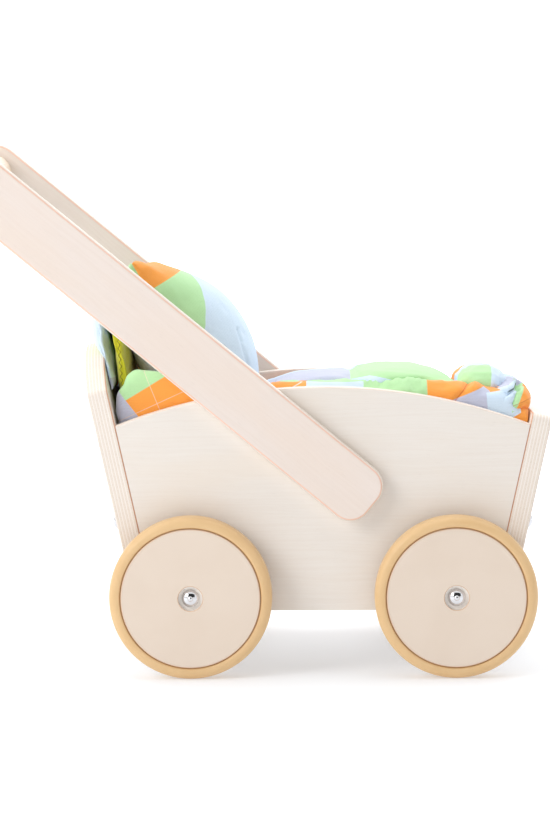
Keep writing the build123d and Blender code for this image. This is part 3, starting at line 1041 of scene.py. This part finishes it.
lower = block(34, lower_shape)
remesh(lower, 5 * MM)
stuff(lower, 2.5, 2.6 * MM, 0.05, 16)
crumple(
    lower, (55, 30, 75), 2.6 * MM, lambda p: ease(p.z, 0.19, 0.235) * (0.6 + 0.6 * ease(p.x, 0.09, 0.12)),
    31.0
)
crumple(lower, (18, 18, 18), 2.5 * MM, lambda p: ease(p.z, 0.19, 0.22), 7.0)
keep_in_bed(lower)
each_point(lower, lambda p, n: Vector((0, 0, max(p.z, QUILT_FLOOR - 0.6 * MM) - p.z)))
smooth_finish(lower)


def gathered(place, normal):
    """Short puckers below the upper layer, and the pointed corner's deep crease."""
    weight = ease(place.z, 0.226, 0.244) * ease(abs(place.y), 0.075, 0.095)
    if weight <= 0:
        return None
    along = place.x / 0.0072 + 1.1 * noise.noise(Vector((place.x * 60, place.z * 90, 3)))
    puckers = math.sin(along * 2 * math.pi) * ease(place.x, 0.092, 0.108) * (1 - ease(place.x, 0.15, 0.162))
    near = place - Vector((0.1875, 0, 0.242))
    crease = near.x * 0.77 - near.z * 0.64
    fold = -3.4 * math.exp(-((crease / 0.0022) ** 2)) + 1.8 * math.exp(-(((crease - 0.006) / 0.004) ** 2))
    return normal * ((0.75 * puckers + fold) * weight * MM)


each_point(lower, gathered)
fine_creases(lower, lambda p: ease(p.z, 0.2, 0.235), 73.0, 0.8 * MM)
keep_in_bed(lower)
keep_clear(lower, pillow)
hand_over("quilt_lower_layer", lower, cotton("quilt_lower_print", lower_paint), "quilt_body")
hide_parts("quilt")

upper_top = profile(
    [
        (14, 247), (23, 251), (48, 256.5), (65, 258), (88, 259), (92, 257), (101, 262), (123, 265),
        (145, 264), (163, 260), (181, 254), (188, 249)
    ]
)
upper_low = profile([(14, 245), (60, 247), (140, 247), (188, 243)])


def upper_paint(f, x, y, z):
    near = f.mix(half_plane(x, z, (93, 300), (91, 230)).between(-0.0002, 0.0002), LILAC, GREEN)
    wave = f.noise(f.vector(x * 22, 0.0, 4.2), 1.0, 2.0)
    wavy = z + (wave - 0.5) * 0.006
    band = [(92, 235), (170, 235), (151, 247.5), (138, 250.5), (124, 255), (108, 256.5), (92, 253)]
    near = f.mix(inside(x, wavy, band), near, BLUE)
    sliver = (1 - wavy.between(0.2515, 0.2518)) * (1 - x.between(0.0925, 0.0928))
    tips = inside(x, z, [(38, 245), (57, 245), (57, 262), (38, 257)]).most(
        inside(x, z, [(76, 245), (92, 245), (92, 262), (76, 256)])
    )
    near = f.mix(sliver * tips, near, ORANGE)
    near = f.mix(
        x.between(0.0925, 0.0928) * inside(x, z, [(176, 254), (200, 240), (200, 275), (176, 262)]), near,
        ORANGE
    )
    far = scatter(f, x, y, 0.078, 3.3)[0]
    ramp_switch(f)
    far = f.mix(y.between(0.0455, 0.046), BLUE, far)
    seam = half_plane(x, y, (40, -14), (190, 6)).between(-0.0002, 0.0002)
    return f.mix(seam, near, far)


def upper_shape(u, v, w):
    left, right = 15 * MM, 187 * MM
    x = (left + right) / 2 + (right - left) / 2 * u
    bow = 4 * MM * (1 - u * u)
    y = v * (89 * MM + bow * 0.8 + 2.5 * MM * math.sin(x * 70))
    top, low = upper_top(x), upper_low(x)
    crown = (1 - abs(v) ** 2.4) ** 0.7 * (1 - abs(u) ** 9) ** 0.55
    z = far_side_lower(low + (w + 1) / 2 * (top - low) * (0.3 + 0.7 * crown), y)
    return Vector((x, y, z))


upper = block(34, upper_shape)
remesh(upper, 4.5 * MM)
stuff(upper, 3.0, 2.8 * MM, 0.04, 16)
groove(
    upper, lambda p: abs(p.x - 0.0925 + 0.002 * math.sin(p.y * 40)) + (1 if p.z < 0.247 else 0), 3.5 * MM,
    2.2 * MM
)
groove(upper, lambda p: abs(p.y - 0.046) + (1 if p.z < 0.247 else 0), 4 * MM, 2.5 * MM)
crumple(upper, (30, 30, 40), 1.8 * MM, lambda p: 0.35 + ease(abs(p.y), 0.07, 0.1), 17.0)
crumple(
    upper, (70, 60, 70), 1.0 * MM,
    lambda p: math.exp(-((p.x - 0.0925) / 0.012) ** 2) + math.exp(-(p.y / 0.012) ** 2), 23.0
)
keep_in_bed(upper)
smooth_finish(upper)
fine_creases(
    upper,
    lambda p: 0.4 + 0.8 * math.exp(-(((p.x - 0.0925) / 0.01) ** 2)) + 0.6 * ease(abs(p.y), 0.075, 0.09),
    71.0, 0.45 * MM
)
hand_over("quilt_upper_layer", upper, cotton("quilt_upper_print", upper_paint), "quilt_body")


def roll_shape(centre_x, centre_z, radius_x, radius_z, half, sway, seed):
    """A soft roll of quilt across the bed, thinner at its ends and never quite straight."""

    def shape(u, v, w):
        angle = math.atan2(w, u)
        square = max(abs(u), abs(w))
        end = (1 - abs(v) ** 14) ** 0.5
        fat = 1 + 0.13 * noise.noise(Vector((v * 2.6, seed, 0))) + 0.05 * noise.noise(
            Vector((v * 7, seed + 4, angle))
        )
        swing = Vector(
            (noise.noise(Vector((v * 1.6, seed + 9, 0))), 0, noise.noise(Vector((v * 1.9, seed + 2, 5))))
        ) * sway
        place = Vector((centre_x * MM, v * half * MM, centre_z * MM)) + swing
        place.z -= 0.05 * (v + 1) * half * MM + 2 * MM * v * v
        reach = square * fat * (0.35 + 0.65 * end)
        return place + Vector(
            (math.cos(angle) * radius_x * MM * reach, 0, math.sin(angle) * radius_z * MM * reach)
        )

    return shape


def puff_paint(f, x, y, z):
    near = f.mix(half_plane(x, z, (219, 300), (214, 250)).between(-0.0002, 0.0002), GREEN, BLUE)
    far = f.mix(half_plane(x, y, (185, 22), (225, 30)).between(-0.0002, 0.0002), BLUE, ORANGE)
    return f.mix(half_plane(x, y, (185, -22), (225, -44)).between(-0.0002, 0.0002), near, far)


puff = block(22, roll_shape(208, 250, 20.0, 11.5, 90, 2.5 * MM, 5.0))
remesh(puff, 4 * MM)
stuff(puff, 3.0, 3.2 * MM, 0.06, 16)
crumple(puff, (60, 35, 60), 2.0 * MM, lambda p: 1.0, 41.0)
keep_in_bed(puff)
smooth_finish(puff)
fine_creases(puff, lambda p: 1.0, 77.0, 1.1 * MM)
hand_over("quilt_fold", puff, cotton("quilt_fold_print", puff_paint), "quilt_body")


def roll_paint(f, x, y, z):
    near = f.mix(half_plane(x, z, (196, 234), (252, 262)).between(-0.0002, 0.0002), BLUE, LILAC)
    near = f.mix(
        inside(x, z, [(204, 240), (244, 253), (238, 275), (206, 275)]), near,
        f.mix(z.between(0.2535, 0.2538), LILAC, BLUE)
    )
    near = f.mix(inside_round(x, z, (239.5, 256), 6.5), near, GREEN)
    near = f.mix(
        half_plane(
            x, z, (243.5, 262), (226, 219)
        ).between(-0.0002, 0.0002) * (1 - z.between(0.2505, 0.2508)),
        near,
        GREEN
    )
    near = f.mix(
        half_plane(
            x, z, (250.5, 262), (231, 219)
        ).between(-0.0002, 0.0002) * (1 - z.between(0.2505, 0.2508)),
        near,
        ORANGE
    )
    near = f.mix(inside(x, z, [(205, 205), (260, 205), (260, 232), (226, 221)]), near, ORANGE)
    near = f.mix(inside(x, z, [(200, 238.5), (221, 246), (200, 256)]), near, ORANGE)
    # painted shade: a dark teal line stands for the shadow deep in the fold
    tuck = on_line(
        x, z, (229.5, 243), (242.5, 249.5), 1.4
    ) * x.between(0.2265, 0.2295) * (1 - x.between(0.2425, 0.2435))
    near = f.mix(tuck * 0.85, near, srgb(62, 84, 84))
    # painted shade: darker blue, lilac and orange lines stand for the shade in small creases
    near = f.mix(
        on_line(x, z, (212, 226), (216, 247), 0.5) * (1 - z.between(0.243, 0.246)) * 0.4, near,
        srgb(120, 150, 180)
    )
    near = f.mix(on_line(x, z, (209, 258), (233, 252), 0.8) * 0.3, near, srgb(140, 150, 180))
    near = f.mix(on_line(x, z, (236, 232), (252, 238), 0.5) * 0.5, near, srgb(190, 90, 40))
    far = f.mix(half_plane(x, y, (200, 40), (250, 70)).between(-0.0002, 0.0002), BLUE, GREEN)
    far = f.mix(half_plane(x, y, (200, -10), (250, 14)).between(-0.0002, 0.0002), LILAC, far)
    return f.mix(half_plane(x, y, (200, -52), (250, -66)).between(-0.0002, 0.0002), near, far)


roll = block(24, roll_shape(230.5, 233.5, 18.5, 18.5, 105, 2.0 * MM, 2.0))
remesh(roll, 4 * MM)
stuff(roll, 3.0, 3.6 * MM, 0.07, 16)
crumple(roll, (50, 30, 60), 2.6 * MM, lambda p: 1.0, 53.0)
keep_in_bed(roll)
smooth_finish(roll)
groove(
    roll,
    lambda p: abs((p.z - 0.243) - (p.x - 0.2295) * 0.5) + (
        0 if abs(p.y) > 0.06 and 0.203 < p.x < 0.245 else 1
    ),
    2.0 * MM,
    5.0 * MM
)
groove(
    roll,
    lambda p: abs((p.x - 0.2365) - (p.z - 0.243) * 0.45) + (0 if abs(p.y) > 0.07 and p.z < 0.25 else 1),
    1.8 * MM, 3.0 * MM
)
groove(
    roll,
    lambda p: abs((p.z - 0.2265) + (p.x - 0.24) * 0.3) + (0 if abs(p.y) > 0.07 and p.x > 0.232 else 1),
    1.8 * MM, 3.0 * MM
)
fine_creases(roll, lambda p: 1.0, 79.0, 1.4 * MM)
keep_in_bed(roll)
hand_over("quilt_foot_roll", roll, cotton("quilt_roll_print", roll_paint), "quilt_body")

corner_top = profile(
    [
        (-116, 226), (-109, 243), (-101, 257), (-94, 262), (-78, 261), (-62, 257), (-48, 248), (-10, 238),
        (8, 236)
    ]
)


def corner_paint(f, x, y, z):
    colour = f.mix(left_of(x, z, (-98.5, 240), (-79.5, 251.5)), ORANGE, GREEN)
    colour = f.mix(left_of(x, z, (-91, 220), (-110.5, 245)), colour, LILAC)
    colour = f.mix(on_line(x, z, (-88, 262), (-73, 225), 0.4) * 0.6, colour, PIPING)
    colour = f.mix(on_line(x, z, (-94, 226), (-50, 246), 0.4) * 0.6, colour, PIPING)
    colour = f.mix(left_of(x, z, (-40, 200), (-46, 262)), LILAC, colour)
    return colour


def corner_shape(way):
    def shape(u, v, w):
        left, right = -115 * MM, 6 * MM
        span = (w + 1) / 2
        x = (left + right) / 2 + (right - left) / 2 * u
        top = corner_top(x)
        bottom = 150 * MM
        z = bottom + span * (top - bottom)
        x = max(x, end_wall(z, -1) + 2.5 * MM)
        round_top = (1 - span**16) ** 0.5 * (1 - abs(u) ** 22) ** 0.4
        y = 99.5 * MM + v * (2.5 + 6.0 * round_top) * MM
        return Vector((x, way * y, z))

    return shape


for side, way in (("right", -1), ("left", 1)):
    corner = block(26, corner_shape(way))
    face_outwards(corner)
    remesh(corner, 3.6 * MM)
    stuff(corner, 3.0, 3.5 * MM, 0.04, 14)
    crumple(corner, (35, 35, 35), 1.6 * MM, lambda p: 1.0, 61.0 + way)
    groove(corner, lambda p: abs((p.x + 0.0805) * 0.93 + (p.z - 0.2435) * 0.375), 1.4 * MM, 0.8 * MM)
    groove(corner, lambda p: abs((p.x + 0.072) * -0.41 + (p.z - 0.236) * 0.91), 1.4 * MM, 0.8 * MM)
    keep_in_bed(corner)

    def off_the_pillow(place, _normal, way=way):
        out = max(abs(place.y), CORNER_INNER_FACE) - abs(place.y)
        return Vector((0, way * out, 0))

    each_point(corner, off_the_pillow)
    smooth_finish(corner)
    hand_over(
        "quilt_head_corner_" + side, corner, cotton("quilt_corner_print_" + side, corner_paint),
        "quilt_body"
    )

# ---------------------------------------------------------------- floor, light and camera


deselect()
bpy.ops.mesh.primitive_plane_add(size=14.0, location=(0, 3.0, 0))
ground = bpy.context.object
ground.name = "studio_sweep"
bpy.ops.object.mode_set(mode="EDIT")
bpy.ops.mesh.select_all(action="DESELECT")
bpy.ops.object.mode_set(mode="OBJECT")
for edge in ground.data.edges:
    edge.select = all(ground.data.vertices[i].co.y > 0 for i in edge.vertices)
bpy.ops.object.mode_set(mode="EDIT")
bpy.ops.mesh.select_mode(type="EDGE")
bpy.ops.mesh.extrude_region_move(TRANSFORM_OT_translate={"value": (0, 0, 7.0)})
bpy.ops.object.mode_set(mode="OBJECT")
sweep = Finish("white_sweep", Roughness=0.6, Emission_Strength=1.0)
sweep_spot = sweep.place()
_, sweep_y, _ = sweep.axes(sweep_spot)
grit = sweep.noise(sweep_spot, 6.0, 4.0)
glow = 0.34 + 0.8 * (sweep_y + 3.0).between(0.15, 1.6)
sweep.wear(
    Base_Color=sweep.mix(grit, (0.63, 0.64, 0.655), (0.65, 0.66, 0.67)),
    Emission_Color=sweep.vector(glow * 0.97, glow, glow * 1.05),
)
ground.data.materials.append(sweep.material)

deselect()
bpy.ops.mesh.primitive_plane_add(size=1.0)
card = bpy.context.object
card.name = "dark_card"
for corner_point, (x, y, z) in zip(
    card.data.vertices, ((-4.2, -3.0, 3.9), (4.4, -3.0, 3.9), (-4.2, -4.2, 1.15), (4.4, -4.2, 1.15))
):
    corner_point.co = (x, y, z)
card_finish = Finish("dark_card", Roughness=0.9)
soot = card_finish.noise(card_finish.place(), 5.0, 3.0)
card_finish.wear(Base_Color=card_finish.mix(soot, (0.012, 0.012, 0.013), (0.02, 0.02, 0.02)))
card.data.materials.append(card_finish.material)

world = bpy.data.worlds.new("studio_air")
bpy.context.scene.world = world
world.use_nodes = True
air = world.node_tree
backdrop = air.nodes["Background"]
backdrop.inputs[0].default_value = (1.0, 1.0, 1.0, 1.0)
backdrop.inputs[1].default_value = 1.02
bpy.context.scene.view_settings.view_transform = "Standard"


def lamp(name, place, aim, width, height, power, colour=(1, 1, 1)):
    data = bpy.data.lights.new(name, "AREA")
    data.shape = "RECTANGLE"
    data.size = width
    data.size_y = height
    data.energy = power
    data.color = colour
    obj = bpy.data.objects.new(name, data)
    bpy.context.scene.collection.objects.link(obj)
    obj.location = place
    obj.rotation_euler = (Vector(aim) - Vector(place)).to_track_quat("-Z", "Y").to_euler()


lamp("overhead_softbox", (0.05, 0.5, 2.1), (0.05, 0, 0.15), 2.4, 1.6, 17)
lamp("left_softbox", (-1.6, -1.5, 1.3), (0, 0, 0.2), 1.2, 1.2, 24)

eye = Vector((44.7, -2593.5, 435.3)) * MM
yaw, pitch, roll = (math.radians(a) for a in (-0.44, -4.82, -0.28))
ahead = Vector((math.sin(yaw) * math.cos(pitch), math.cos(yaw) * math.cos(pitch), math.sin(pitch)))
level_right = Vector((math.cos(yaw), -math.sin(yaw), 0))
level_up = level_right.cross(ahead)
cam_right = level_right * math.cos(roll) + level_up * math.sin(roll)
cam_up = level_up * math.cos(roll) - level_right * math.sin(roll)
lens = bpy.data.cameras.new("view")
lens.sensor_width = 36
lens.lens = 2874.5 * 36 / 825
camera = bpy.data.objects.new("view", lens)
bpy.context.scene.collection.objects.link(camera)
turned = Matrix((cam_right, cam_up, -ahead)).transposed().to_4x4()
camera.matrix_world = Matrix.Translation(eye) @ turned
bpy.context.scene.camera = camera
